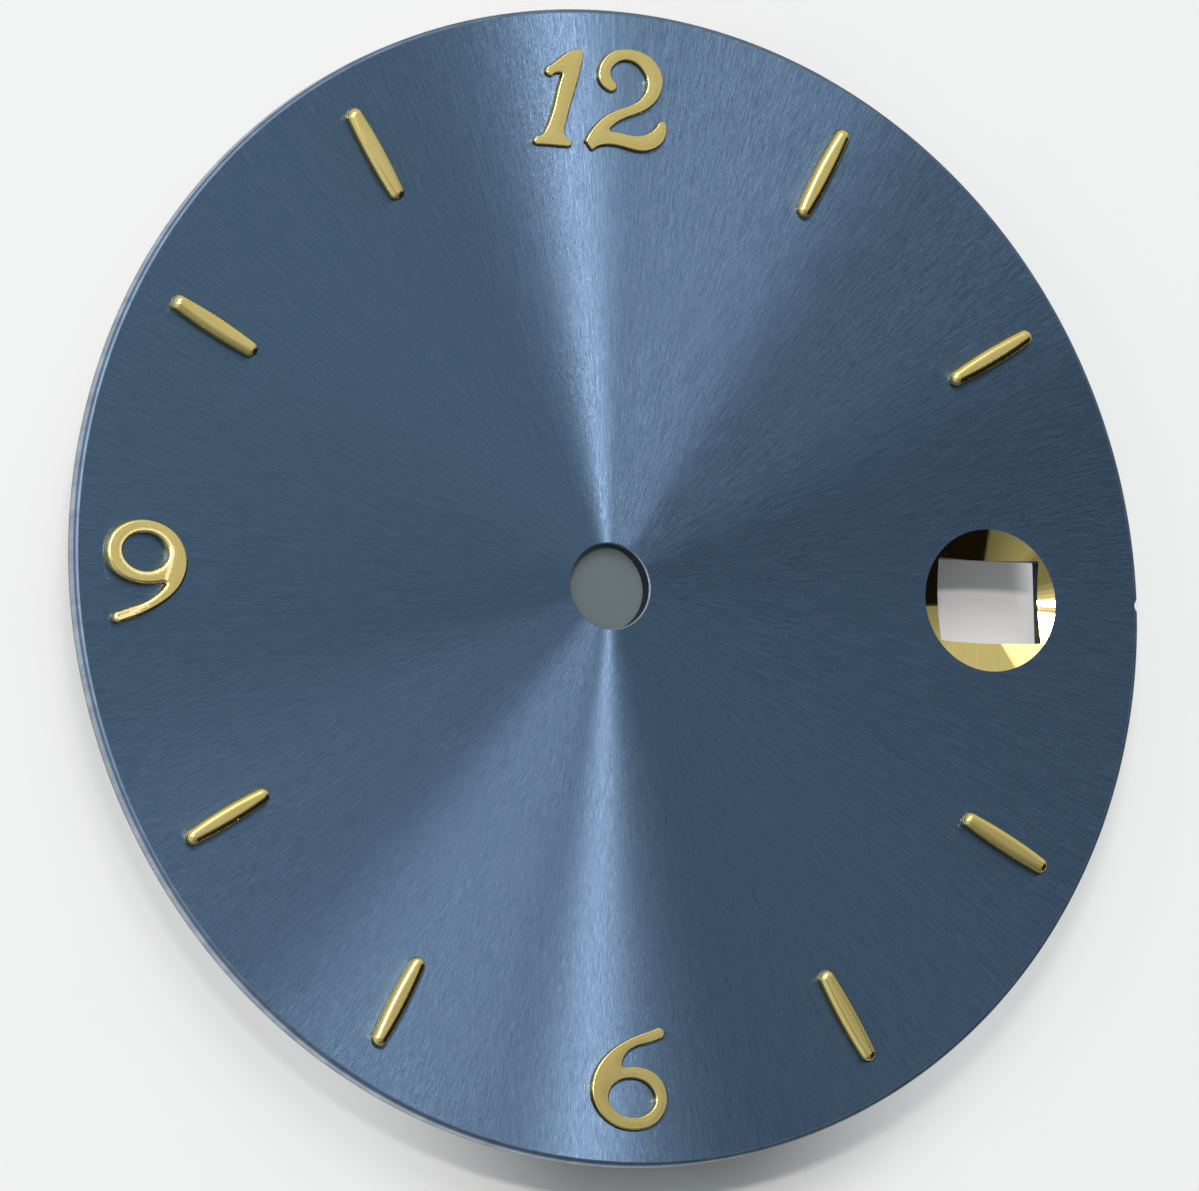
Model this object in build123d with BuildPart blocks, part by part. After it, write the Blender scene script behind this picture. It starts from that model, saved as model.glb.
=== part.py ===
from build123d import *
import os

# A wristwatch dial: a thin round plate with applied hour marks and numerals, carried on two
# dial feet. Sizes are in millimetres and angles in degrees. The origin is on the centre bore
# at the plate's back face, +Z leaves the front face, +Y points to the twelve, +X to the three.
os.makedirs("parts", exist_ok=True)

# Plate
plate_radius = 14.25
plate_thickness = 0.40
rim_width = 0.10
rim_drop = 0.26
bore_radius = 1.05
bore_edge_break = 0.03
notch_radius = 0.17
notch_depth = 0.10

# Date window: a shallow cone turned into the front, and a rectangular hole through its floor
recess_radius = 1.76
recess_apex_depth = 0.75
recess_rim_margin = 2.25
window_width = 2.70
window_height = 2.05
window_corner_radius = 0.05

# Plain hour marks
mark_length = 2.51
mark_width = 0.42
mark_height = 0.25
mark_edge_radius = 0.175
mark_rim_margin = 0.98
marked_hour_numbers = (1, 2, 4, 5, 7, 8, 10, 11)

# Applied digits: the width and height of the box round each, and its distance from the rim
digit_thickness = 0.20
digit_edge_radius = 0.05
nine_edge_radius = 0.09
digit_corner_radius = 0.04
one_box = (1.375, 2.414)
two_box = (2.187, 2.529)
six_box = (2.010, 2.506)
nine_box = (2.136, 2.530)
twelve_rim_margin = 1.00
six_rim_margin = 0.87
nine_rim_margin = 0.80
six_side_shift = 0.07
nine_side_shift = -0.09

# Riveted feet under the marks and digits, in countersunk holes of the plate
rivet_radius = 0.12
rivet_head_radius = 0.20
rivet_clearance = 0.01
rivet_head_angle = 90
mark_rivet_inset = 0.50

# Dial feet
foot_radius = 0.45
foot_length = 2.20
foot_base_radius = 0.68
foot_base_height = 0.14
foot_tip_chamfer = 0.08
foot_rim_margin = 2.05
foot_angles = {"a": 108, "b": 288}

# Shared values
twelve_angle = 90
quarter_turn = 90
degrees_per_hour = 30
cut_overrun = 0.50
largest_edge_share = 0.85

# Digit outlines as shares of their boxes, from the lower left corner. A stretch of two points
# is a line, one of three an arc, and a longer one a smooth curve.
one_outline_shares = (
    ((0.29, 0.81), (0.50, 0.89), (0.70, 0.97), (0.89, 1.00)),
    ((0.89, 1.00), (0.975, 0.99), (1.00, 0.95)),
    ((1.00, 0.95), (0.94, 0.80), (0.80, 0.55), (0.65, 0.29), (0.59, 0.15)),
    ((0.59, 0.15), (0.62, 0.10), (0.68, 0.075)),
    ((0.68, 0.075), (0.725, 0.035), (0.65, 0.00)),
    ((0.65, 0.00), (0.09, 0.01)),
    ((0.09, 0.01), (0.00, 0.05), (0.06, 0.10)),
    ((0.06, 0.10), (0.16, 0.12), (0.26, 0.20), (0.42, 0.44), (0.59, 0.75)),
    ((0.59, 0.75), (0.49, 0.755), (0.38, 0.72)),
    ((0.38, 0.72), (0.28, 0.745), (0.29, 0.81)),
)
two_outline_shares = (
    ((0.30, 0.59), (0.18, 0.75), (0.30, 0.94), (0.60, 1.00), (0.88, 0.89), (0.97, 0.68),
     (0.79, 0.435), (0.46, 0.31), (0.28, 0.19)),
    ((0.28, 0.19), (0.45, 0.18), (0.65, 0.16), (0.80, 0.20), (0.90, 0.29)),
    ((0.90, 0.29), (0.965, 0.305), (1.00, 0.25)),
    ((1.00, 0.25), (0.92, 0.08), (0.73, 0.01), (0.50, 0.035), (0.28, 0.06), (0.08, 0.00)),
    ((0.08, 0.00), (0.00, 0.09)),
    ((0.00, 0.09), (0.13, 0.25), (0.38, 0.40), (0.66, 0.50), (0.78, 0.68), (0.69, 0.84),
     (0.50, 0.89), (0.34, 0.79), (0.40, 0.66)),
    ((0.40, 0.66), (0.385, 0.60), (0.30, 0.59)),
)
six_outline_shares = (
    ((0.88, 1.00), (0.59, 0.915), (0.27, 0.77), (0.06, 0.57), (0.00, 0.38), (0.08, 0.18),
     (0.30, 0.035), (0.56, 0.00), (0.84, 0.07), (1.00, 0.31), (0.87, 0.54), (0.67, 0.61),
     (0.41, 0.605)),
    ((0.41, 0.605), (0.44, 0.71), (0.54, 0.79), (0.70, 0.84), (0.92, 0.895)),
    ((0.92, 0.895), (0.98, 0.965), (0.88, 1.00)),
)
nine_outline_shares = (
    ((0.155, 0.00), (0.37, 0.06), (0.63, 0.17), (0.86, 0.32), (1.00, 0.60), (0.87, 0.87),
     (0.61, 0.99), (0.32, 0.99), (0.07, 0.86), (0.00, 0.70), (0.08, 0.51), (0.30, 0.40),
     (0.50, 0.38), (0.74, 0.41)),
    ((0.74, 0.41), (0.67, 0.33), (0.51, 0.23), (0.31, 0.16), (0.115, 0.105)),
    ((0.115, 0.105), (0.06, 0.045), (0.155, 0.00)),
)

# The deepest inner corner of each outline, which the press tool leaves slightly round
one_corner_shares = (0.59, 0.75)
two_corner_shares = (0.28, 0.19)
six_corner_shares = (0.41, 0.605)
nine_corner_shares = (0.74, 0.41)

# The open bowls of the six and nine: middle and half axes, as shares of the same boxes
six_bowl_shares = ((0.532, 0.312), (0.315, 0.193))
nine_bowl_shares = ((0.480, 0.690), (0.285, 0.184))

# Where the riveted feet stand under each digit, as shares of the same boxes
one_rivet_shares = ((0.79, 0.83), (0.43, 0.17))
two_rivet_shares = ((0.875, 0.70), (0.45, 0.11))
six_rivet_shares = ((0.11, 0.38), (0.925, 0.31))
nine_rivet_shares = ((0.885, 0.67), (0.10, 0.69))

# Places that follow from the sizes
front = Plane.XY.offset(plate_thickness)
back = Plane(origin=(0, 0, 0), x_dir=(1, 0, 0), z_dir=(0, 0, -1))
window_offset = plate_radius - recess_rim_margin - recess_radius
mark_middle_radius = plate_radius - mark_rim_margin - mark_length / 2
mark_rivet_spread = mark_length / 2 - mark_rivet_inset
foot_circle_radius = plate_radius - foot_rim_margin
pair_height = max(one_box[1], two_box[1])
pair_middle = plate_radius - twelve_rim_margin - pair_height / 2
one_centre = (-two_box[0] / 2, pair_middle)
two_centre = (one_box[0] / 2, pair_middle)
six_centre = (six_side_shift, six_rim_margin + six_box[1] / 2 - plate_radius)
nine_centre = (nine_rim_margin + nine_box[0] / 2 - plate_radius, nine_side_shift)


def hour_angle(hour):
    """The direction of an hour, counted from the three towards the twelve."""
    return twelve_angle - hour * degrees_per_hour


def polar_point(radius, angle):
    point = Vector(radius, 0).rotate(Axis.Z, angle)
    return (point.X, point.Y)


def mark_rivet_places(hour):
    radii = (mark_middle_radius - mark_rivet_spread, mark_middle_radius + mark_rivet_spread)
    return [polar_point(radius, hour_angle(hour)) for radius in radii]


# What each digit is drawn from, under its piece's name
digits = {
    "numeral_12_digit_1": {
        "box": one_box,
        "centre": one_centre,
        "outline": one_outline_shares,
        "corner": one_corner_shares,
        "edge_radius": digit_edge_radius,
        "bowl": None,
        "rivets": one_rivet_shares,
    },
    "numeral_12_digit_2": {
        "box": two_box,
        "centre": two_centre,
        "outline": two_outline_shares,
        "corner": two_corner_shares,
        "edge_radius": digit_edge_radius,
        "bowl": None,
        "rivets": two_rivet_shares,
    },
    "numeral_6": {
        "box": six_box,
        "centre": six_centre,
        "outline": six_outline_shares,
        "corner": six_corner_shares,
        "edge_radius": digit_edge_radius,
        "bowl": six_bowl_shares,
        "rivets": six_rivet_shares,
    },
    "numeral_9": {
        "box": nine_box,
        "centre": nine_centre,
        "outline": nine_outline_shares,
        "corner": nine_corner_shares,
        "edge_radius": nine_edge_radius,
        "bowl": nine_bowl_shares,
        "rivets": nine_rivet_shares,
    },
}


def box_point(shares, digit):
    """A point given as shares of a digit's box, in millimetres on the dial."""
    width, height = digit["box"]
    middle_x, middle_y = digit["centre"]
    return (middle_x + (shares[0] - 1 / 2) * width, middle_y + (shares[1] - 1 / 2) * height)


def digit_rivet_places(digit):
    return [box_point(shares, digit) for shares in digit["rivets"]]


rivet_places = []
for hour in marked_hour_numbers:
    rivet_places += mark_rivet_places(hour)
for digit in digits.values():
    rivet_places += digit_rivet_places(digit)


# Plate: a turned disc with a rolled rim, a centre bore, a locating notch and the date window
with BuildPart() as dial_plate:
    with BuildSketch(Plane.XZ):
        with BuildLine():
            Polyline(
                (plate_radius - rim_width, plate_thickness),
                (bore_radius, plate_thickness),
                (bore_radius, 0),
                (plate_radius, 0),
                (plate_radius, plate_thickness - rim_drop),
            )
            EllipticalCenterArc(
                (plate_radius - rim_width, plate_thickness - rim_drop),
                x_radius=rim_width,
                y_radius=rim_drop,
                arc_size=quarter_turn,
            )
        make_face()
    revolve(axis=Axis.Z)
    bore_mouth = dial_plate.faces().sort_by(Axis.Z)[-1].edges().sort_by(SortBy.LENGTH)[0]
    chamfer(bore_mouth, length=bore_edge_break)
    with Locations((plate_radius + notch_radius - notch_depth, 0)):
        Hole(radius=notch_radius)
    with Locations((window_offset, 0, plate_thickness)):
        Cone(
            bottom_radius=0,
            top_radius=recess_radius,
            height=recess_apex_depth,
            align=(Align.CENTER, Align.CENTER, Align.MAX),
            mode=Mode.SUBTRACT,
        )
    with BuildSketch(front):
        with Locations((window_offset, 0)):
            RectangleRounded(window_width, window_height, window_corner_radius)
    extrude(amount=plate_thickness + cut_overrun, both=True, mode=Mode.SUBTRACT)
    with Locations(back):
        with Locations(*[(x, -y) for x, y in rivet_places]):
            CounterSinkHole(
                radius=rivet_radius + rivet_clearance,
                counter_sink_radius=rivet_head_radius + rivet_clearance,
                counter_sink_angle=rivet_head_angle,
            )
dial_plate.part.label = "dial_plate"
export_step(dial_plate.part, "parts/dial_plate.step")


def add_rivets(places):
    """Shanks that fill the plate's holes, spread at the back into flush heads."""
    head_height = rivet_head_radius - rivet_radius
    upright = (Align.CENTER, Align.CENTER, Align.MIN)
    with Locations(*[(x, y, 0) for x, y in places]):
        Cylinder(rivet_radius, plate_thickness, align=upright)
        Cone(rivet_head_radius, rivet_radius, head_height, align=upright)


def round_top_edges(piece, radius, room):
    """Rounds the edges of the front face, by no more than most of the room beside them."""
    top_edges = piece.faces().sort_by(Axis.Z)[-1].edges()
    fillet(top_edges, radius=min(radius, room * largest_edge_share))


# Hour marks: half-round bars with round ends, one at each hour that has no numeral
for hour in marked_hour_numbers:
    with BuildPart() as hour_mark:
        with BuildSketch(front):
            with PolarLocations(mark_middle_radius, 1, start_angle=hour_angle(hour)):
                SlotOverall(mark_length, mark_width)
        extrude(amount=mark_height)
        round_top_edges(hour_mark, mark_edge_radius, min(mark_width / 2, mark_height))
        add_rivets(mark_rivet_places(hour))
    hour_mark.part.label = f"hour_{hour}_index"
    export_step(hour_mark.part, f"parts/{hour_mark.part.label}.step")


def draw_outline(digit):
    for stretch in digit["outline"]:
        points = [box_point(shares, digit) for shares in stretch]
        if len(points) == 2:
            Line(*points)
        elif len(points) == 3:
            ThreePointArc(*points)
        else:
            Spline(*points)


def cut_bowl(digit):
    middle_shares, half_axis_shares = digit["bowl"]
    width, height = digit["box"]
    with Locations(box_point(middle_shares, digit)):
        Ellipse(
            half_axis_shares[0] * width,
            half_axis_shares[1] * height,
            mode=Mode.SUBTRACT,
        )


# Numerals: italic digits with softened edges, the nine's rounder than the others'
for name, digit in digits.items():
    corner = Vector(*box_point(digit["corner"], digit), plate_thickness)
    with BuildPart() as numeral:
        with BuildSketch(front) as face:
            with BuildLine():
                draw_outline(digit)
            make_face()
            if digit["bowl"]:
                cut_bowl(digit)
            fillet(face.vertices().sort_by_distance(corner)[0], digit_corner_radius)
        extrude(amount=digit_thickness)
        round_top_edges(numeral, digit["edge_radius"], digit_thickness)
        add_rivets(digit_rivet_places(digit))
    numeral.part.label = name
    export_step(numeral.part, f"parts/{name}.step")


# Dial feet: pins with a broad welded base, which hold the dial to the movement
for side, angle in foot_angles.items():
    foot_place = polar_point(foot_circle_radius, angle)
    with BuildPart() as dial_foot:
        with BuildSketch(Plane.XY):
            with Locations(foot_place):
                Circle(foot_radius)
        extrude(amount=-foot_length)
        tip_edge = dial_foot.edges().sort_by(Axis.Z)[0]
        chamfer(tip_edge, length=foot_tip_chamfer)
        with Locations((*foot_place, 0)):
            Cone(
                bottom_radius=foot_radius,
                top_radius=foot_base_radius,
                height=foot_base_height,
                align=(Align.CENTER, Align.CENTER, Align.MAX),
            )
    dial_foot.part.label = f"dial_foot_{side}"
    export_step(dial_foot.part, f"parts/{dial_foot.part.label}.step")
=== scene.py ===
import math

import bpy
import numpy as np
from mathutils import Matrix, Vector
from mathutils.geometry import delaunay_2d_cdt


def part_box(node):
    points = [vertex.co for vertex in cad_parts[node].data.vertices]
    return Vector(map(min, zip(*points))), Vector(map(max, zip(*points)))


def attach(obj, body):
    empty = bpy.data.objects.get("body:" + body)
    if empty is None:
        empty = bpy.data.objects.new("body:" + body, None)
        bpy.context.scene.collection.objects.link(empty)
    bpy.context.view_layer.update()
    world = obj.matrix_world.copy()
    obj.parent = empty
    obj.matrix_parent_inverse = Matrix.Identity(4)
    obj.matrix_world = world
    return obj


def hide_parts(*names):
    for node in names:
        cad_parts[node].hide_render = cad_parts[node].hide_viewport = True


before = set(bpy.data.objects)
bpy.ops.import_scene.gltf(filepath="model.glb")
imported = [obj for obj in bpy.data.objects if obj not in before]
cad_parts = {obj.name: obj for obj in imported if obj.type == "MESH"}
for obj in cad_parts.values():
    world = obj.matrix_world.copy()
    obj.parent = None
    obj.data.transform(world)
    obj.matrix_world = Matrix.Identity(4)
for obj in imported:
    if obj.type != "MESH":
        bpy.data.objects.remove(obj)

# A wristwatch dial. Shapes are worked out in millimetres, in the part's own frame, and become
# metres where a mesh is made. The lamps' and the materials' lengths are in metres, and a material's
# scales are repeats per metre. Colours are linear, and angles are in degrees.
millimetre = 0.001

# Directions
towards_three = (1, 0, 0)
towards_twelve = (0, 1, 0)
upright = (0, 0, 1)
in_plane = (1, 1, 0)

# Plate. Its radius is that of the solid's facets, which lie a little within its true edge.
plate_radius = 14.244
plate_top = 0.40
rim_width = 0.10
rim_drop = 0.10
bare_edge_height = 0.06
bore_radius = 1.05
bore_edge_break = 0.03
notch_radius = 0.17
notch_depth = 0.10

# How far the front's shading leans outward, at the middle and lost by each metre from it, and
# how far that of the gold pieces leans for each millimetre from the middle
front_lean = 0.0286
front_lean_loss = 1.59
gold_lean = 0.0025

# Date window
dish_radius = 1.76
dish_apex_depth = 0.75
window_offset = 10.24
window_width = 2.70
window_height = 2.05
window_corner_radius = 0.05

# Riveted feet of the marks and digits
rivet_radius = 0.12
rivet_head_radius = 0.20
rivet_clearance = 0.01
rivet_head_height = 0.08

# Sections of the gold pieces: how far the top edge is rounded, across and down, and how much
# higher the middle is than the edge of the land
mark_section = {"height": 0.25, "across": 0.19, "down": 0.165, "crown": 0.001}
digit_section = {"height": 0.20, "across": 0.035, "down": 0.035, "crown": 0.004}
nine_section = {"height": 0.20, "across": 0.080, "down": 0.070, "crown": 0.003}

# The nine's painted highlight line: how far it lies from the open bowl, where it runs down the tail, and
# how far it reaches to each side there
bowl_line = (0.045, 0.100)
tail_line = (
    (-11.76, 0.53),
    (-11.75, 0.28),
    (-11.83, 0.00),
    (-12.09, -0.58),
    (-12.72, -1.06),
    (-13.31, -1.30),
)
tail_line_reach = 0.048

# Dial feet
foot_radius = 0.45
foot_length = 2.20
foot_base_radius = 0.68
foot_base_height = 0.14
foot_tip_chamfer = 0.08

# How finely the meshes are divided
plate_columns = 540
notch_columns = 17
notch_margin = 1.2
rim_rings = 12
bore_columns = 160
rivet_columns = 28
foot_columns = 72
corner_steps = 9
side_steps = 28
dish_rings = 5
round_rings = 9
crown_spacing = 0.055
outline_spacing = 0.032
crowded_spacing = 0.018
narrowest_spacing = 0.002
kept_share = 0.985
steepest_ratio = 60.0
corner_turn = 24.0
small_loop_reach = 0.30
merge_distance = 0.0005
joining_distance = 0.00001

# Camera: where it stands, and its down and forward directions
camera_place = (-346.65, -119.04, 752.59)
camera_down = (0.0342, -0.9895, -0.1405)
camera_forward = (0.4140, 0.1420, -0.8991)
camera_lens = 1030.9
sensor_width = 36.0
clip_far = 50.0

# Lamps: the direction in which each stands, its size, power and tint
light_distance = 0.60
lights = {
    "key_light": {
        "direction": (-0.378, 0.149, 0.914),
        "size": (0.080, 0.034),
        "power": 1.25,
        "tint": (1.0, 0.92, 0.86),
    },
    "wide_light": {
        "direction": (-0.263, 0.450, 0.853),
        "size": (0.120, 0.240),
        "power": 1.20,
        "tint": (1.0, 0.95, 0.92),
    },
    "left_light": {
        "direction": (-0.700, 0.100, 0.700),
        "size": (0.240, 0.260),
        "power": 0.40,
        "tint": (1.0, 0.97, 0.95),
    },
    "far_light": {
        "direction": (0.025, 0.640, 0.768),
        "size": (0.220, 0.220),
        "power": 0.21,
        "tint": (1.0, 0.97, 0.95),
    },
}

# The room's light: its level, how it falls off by steps towards the dim side, a dimmer patch round
# one direction, and the backdrop that the camera sees
room_tint = (0.90, 1.00, 0.98)
room_level = 0.62
room_dim_side = (0.643, -0.766, 0.0)
room_falls = (((0.10, 0.30), (1.0, 0.55)), ((0.30, 0.70), (1.0, 0.40)))
shade_direction = (-0.200, -0.200, 0.960)
shade_angles = (17.0, 7.0)
shade_level = 0.35
backdrop_white = 0.90

# Black card, a piece of an upright drum round the dial: where it starts and ends, and its height
card_reach = 170.0
card_angles = (-50.0, 11.5)
card_height = 262.0
card_columns = 24

# Floor, and a grey sheet under the centre bore
floor_gap = 0.004
floor_reach = 3000.0
sheet_radius = 1.12
sheet_height = -0.02
sheet_columns = 48

# The objects of a new file go first
for name in ("Cube", "Light", "Camera"):
    if name in bpy.data.objects:
        bpy.data.objects.remove(bpy.data.objects[name])
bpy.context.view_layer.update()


def unit(vector):
    """One direction, or many, at length one."""
    vector = np.asarray(vector, float)
    return vector / np.linalg.norm(vector, axis=-1, keepdims=True)


# Materials: the whole range, and the parts of a noise's range that are spread over it
full = (0.0, 1.0)
calm_band = (0.35, 0.65)
wide_band = (0.30, 0.70)


class Nodes:
    """A material's or world's node tree, with short ways to add and join nodes."""

    def __init__(self, owner):
        owner.use_nodes = True
        self.tree = owner.node_tree
        self.tree.nodes.clear()

    def add(self, kind, settings=None, **inputs):
        """A new node. Inputs go by name, or by number as n0, n1 and so on."""
        node = self.tree.nodes.new("ShaderNode" + kind)
        for name, value in (settings or {}).items():
            setattr(node, name, value)
        for name, value in inputs.items():
            numbered = name[0] == "n" and name[1:].isdigit()
            self.feed(node.inputs[int(name[1:]) if numbered else name.replace("_", " ")], value)
        return node

    def feed(self, socket, value):
        """Joins another node's output to a socket, or sets the socket's own value."""
        if isinstance(value, bpy.types.NodeSocket):
            self.tree.links.new(value, socket)
        else:
            socket.default_value = value

    def math(self, operation, first, second=0.0, third=0.0):
        return self.add("Math", {"operation": operation}, n0=first, n1=second, n2=third).outputs[0]

    def vector(self, operation, first, second=(0, 0, 0)):
        node = self.add("VectorMath", {"operation": operation}, n0=first, n1=second)
        single = operation in ("LENGTH", "DOT_PRODUCT")
        return node.outputs["Value" if single else "Vector"]

    def scaled(self, vector, factor):
        node = self.add("VectorMath", {"operation": "SCALE"}, n0=vector, Scale=factor)
        return node.outputs["Vector"]

    def ranged(self, value, source, target, soft=False):
        """A value of the source range as one of the target range, with soft ends or plain."""
        kind = "SMOOTHSTEP" if soft else "LINEAR"
        node = self.add("MapRange", {"interpolation_type": kind}, Value=value)
        for socket, number in zip(node.inputs[1:5], source + target):
            socket.default_value = number
        return node.outputs["Result"]

    def blended(self, factor, first, second):
        """A mix of two numbers."""
        return self.add("Mix", Factor=factor, n2=first, n3=second).outputs[0]

    def mixed(self, factor, first, second):
        """A mix of two colours."""
        node = self.add("Mix", {"data_type": "RGBA"}, Factor=factor, n6=first, n7=second)
        return node.outputs[2]

    def noise(self, vector, detail, scale=1.0, roughness=0.5):
        node = self.add("TexNoise", Vector=vector, Scale=scale, Detail=detail, Roughness=roughness)
        return node.outputs["Fac"]

    def position(self):
        return self.add("TexCoord").outputs["Object"]

    def height(self, vector):
        return self.add("SeparateXYZ", Vector=vector).outputs["Z"]

    def bump(self, height, strength, distance):
        return self.add("Bump", Strength=strength, Distance=distance, Height=height).outputs["Normal"]

    def metal(self, colour, roughness, normal):
        return self.add("BsdfPrincipled", Base_Color=colour, Metallic=1.0, Roughness=roughness,
                        Normal=normal)

    def surface(self, shader):
        output = self.add("OutputMaterial")
        self.tree.links.new(shader.outputs[0], output.inputs["Surface"])


def new_nodes(name):
    """A new material, and its nodes."""
    material = bpy.data.materials.new(name)
    return material, Nodes(material)


# Blue front. scratch_turns is how many scratches lie side by side on an arc as long as its own
# radius: near the middle, further out and towards the rim. scratch_joins is how far out one number
# gives way to the next. The grain and the lines show as colour, and the hairs only as glints.
blue_dark = (0.096, 0.163, 0.270, 1.0)
blue_light = (0.146, 0.220, 0.348, 1.0)
front_roughness = 0.308
front_anisotropy = 1.0
scratch_turns = (130.0, 320.0, 720.0)
scratch_joins = ((0.0022, 0.0040), (0.0050, 0.0085))
scratch_middle = 0.5
grain_length = 0.00009
grain_detail = 3.0
line_length = 0.0008
line_shift = 3.1
hair_length = 0.00028
hair_narrowing = 3.0
hair_shift = 7.3
line_detail = 1.0
grain_band = (-0.18, 0.18)
grain_tilt = 0.15
line_tilt = 0.12
hair_tilt = 0.65
lean_reach = 8.0
lean_power = 3.0
# Painted light and shade: the blue grows darker by this share for each metre towards three o'clock, and
# lighter towards nine
painted_shade_slope = -10.0


def sunray_blue(name):
    """Blue over radial brushing: fine scratches that run from the middle to the rim."""
    material, nodes = new_nodes(name)
    flat_place = nodes.vector("MULTIPLY", nodes.position(), in_plane)
    reach = nodes.vector("LENGTH", flat_place)
    outward = nodes.vector("NORMALIZE", flat_place)
    around = nodes.vector("CROSS_PRODUCT", upright, outward)

    def scratches(length, narrowing, shift, detail):
        """Scratches of one length, about as wide near the middle as near the rim."""
        along = nodes.math("MULTIPLY_ADD", reach, 1 / length, shift)
        rise = nodes.add("CombineXYZ", Z=along).outputs[0]
        layers = []
        for turns in scratch_turns:
            spread = nodes.scaled(outward, turns * narrowing)
            layers.append(nodes.noise(nodes.vector("ADD", spread, rise), detail))
        result = layers[0]
        for layer, limits in zip(layers[1:], scratch_joins):
            result = nodes.blended(nodes.ranged(reach, limits, full, soft=True), result, layer)
        return nodes.math("SUBTRACT", result, scratch_middle)

    grain = scratches(grain_length, 1.0, 0.0, grain_detail)
    lines = scratches(line_length, 1.0, line_shift, line_detail)
    hair = scratches(hair_length, hair_narrowing, hair_shift, line_detail)
    shown = nodes.math("ADD", grain, lines)
    colour = nodes.mixed(nodes.ranged(shown, grain_band, full), blue_dark, blue_light)
    # Painted light and shade: the blue is lighter towards nine o'clock and darker towards three
    sideward = nodes.vector("DOT_PRODUCT", flat_place, towards_three)
    colour = nodes.scaled(colour, nodes.math("MULTIPLY_ADD", sideward, painted_shade_slope, 1.0))
    tilt = nodes.math("MULTIPLY_ADD", grain, grain_tilt, nodes.math("MULTIPLY", hair, hair_tilt))
    tilt = nodes.math("MULTIPLY_ADD", lines, line_tilt, tilt)
    lean = nodes.math("POWER", nodes.math("ABSOLUTE", grain), lean_power)
    lean = nodes.math("MULTIPLY", nodes.math("MULTIPLY", lean, lean_reach), nodes.math("SIGN", grain))
    facing = nodes.add("NewGeometry").outputs["Normal"]
    cone = nodes.math("MULTIPLY_ADD", reach, -front_lean_loss, front_lean)
    facing = nodes.vector("ADD", facing, nodes.scaled(outward, cone))
    normal = nodes.vector("NORMALIZE", nodes.vector("ADD", facing, nodes.scaled(around, tilt)))
    tangent = nodes.vector("NORMALIZE", nodes.vector("ADD", around, nodes.scaled(outward, lean)))
    shader = nodes.metal(colour, front_roughness, normal)
    nodes.feed(shader.inputs["Anisotropic"], front_anisotropy)
    nodes.feed(shader.inputs["Tangent"], tangent)
    nodes.surface(shader)
    return material


# Rounded edge of the front, the rim below it with its bare lower edge, and the inner walls, whose
# darker blue is painted shade
turning_scale = 60000.0
turning_detail = 3.0
wear_turns = 30.0
wear_detail = 4.0
round_dark = (0.120, 0.170, 0.250, 1.0)
round_light = (0.160, 0.220, 0.310, 1.0)
round_roughness = (0.46, 0.58)
rim_dark = (0.260, 0.335, 0.440, 1.0)
rim_light = (0.420, 0.510, 0.620, 1.0)
rim_roughness = (0.38, 0.48)
edge_dark = (0.240, 0.205, 0.155, 1.0)
edge_light = (0.360, 0.310, 0.240, 1.0)
edge_roughness = (0.45, 0.60)
# Painted shade: the walls of the bore and of the date window are a darker copy of the front's blue
painted_shade_wall_dark = (0.045, 0.058, 0.076, 1.0)
painted_shade_wall_light = (0.080, 0.098, 0.125, 1.0)
wall_roughness = (0.40, 0.55)
turning_strength = 0.2
turning_distance = 0.000003


def turned_metal(name, dark, light, roughness):
    """Metal without brushing, over fine marks that run round the dial."""
    material, nodes = new_nodes(name)
    place = nodes.position()
    flat_place = nodes.vector("MULTIPLY", place, in_plane)
    reach = nodes.vector("LENGTH", flat_place)
    outward = nodes.vector("NORMALIZE", flat_place)
    level = nodes.add("CombineXYZ", X=reach, Y=nodes.height(place)).outputs[0]
    turned = nodes.noise(level, turning_detail, turning_scale)
    worn = nodes.noise(nodes.scaled(outward, wear_turns), wear_detail)
    colour = nodes.mixed(nodes.ranged(worn, calm_band, full), dark, light)
    rough = nodes.ranged(turned, wide_band, roughness)
    bump = nodes.bump(turned, turning_strength, turning_distance)
    nodes.surface(nodes.metal(colour, rough, bump))
    return material


# Gold plating. A land is what faces up, and the rounded edges beside it are smoother. The walls
# below them are a darker copy of the gold, which paints in their shade, and the nine's line is a
# paler gold, which paints in a highlight.
gold_deep = (0.915, 0.675, 0.240, 1.0)
gold_pale = (0.945, 0.725, 0.285, 1.0)
# Painted shade: a darker copy of the gold for the walls of the marks and digits
painted_shade_deep = (0.300, 0.215, 0.075, 1.0)
painted_shade_pale = (0.380, 0.280, 0.105, 1.0)
# Painted highlight: a paler gold for the nine's line
painted_highlight_deep = (0.970, 0.820, 0.430, 1.0)
painted_highlight_pale = (0.985, 0.860, 0.500, 1.0)
gold_cloud_scale = 900.0
gold_detail = 3.0
gold_grain_roughness = 0.6
land_band = (0.93, 0.985)
painted_highlight_roughness = (0.60, 0.70)
shaded_edge = 0.34
digit_gold = {
    "land": (0.24, 0.34),
    "edge": 0.16,
    "grain_scales": (42000.0, 5200.0, 42000.0),
    "grain_strength": 0.35,
    "grain_distance": 0.0000035,
}
mark_gold = {
    "land": (0.16, 0.22),
    "edge": 0.22,
    "grain_scales": (9000.0, 9000.0, 9000.0),
    "grain_strength": 0.05,
    "grain_distance": 0.000002,
}


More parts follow.
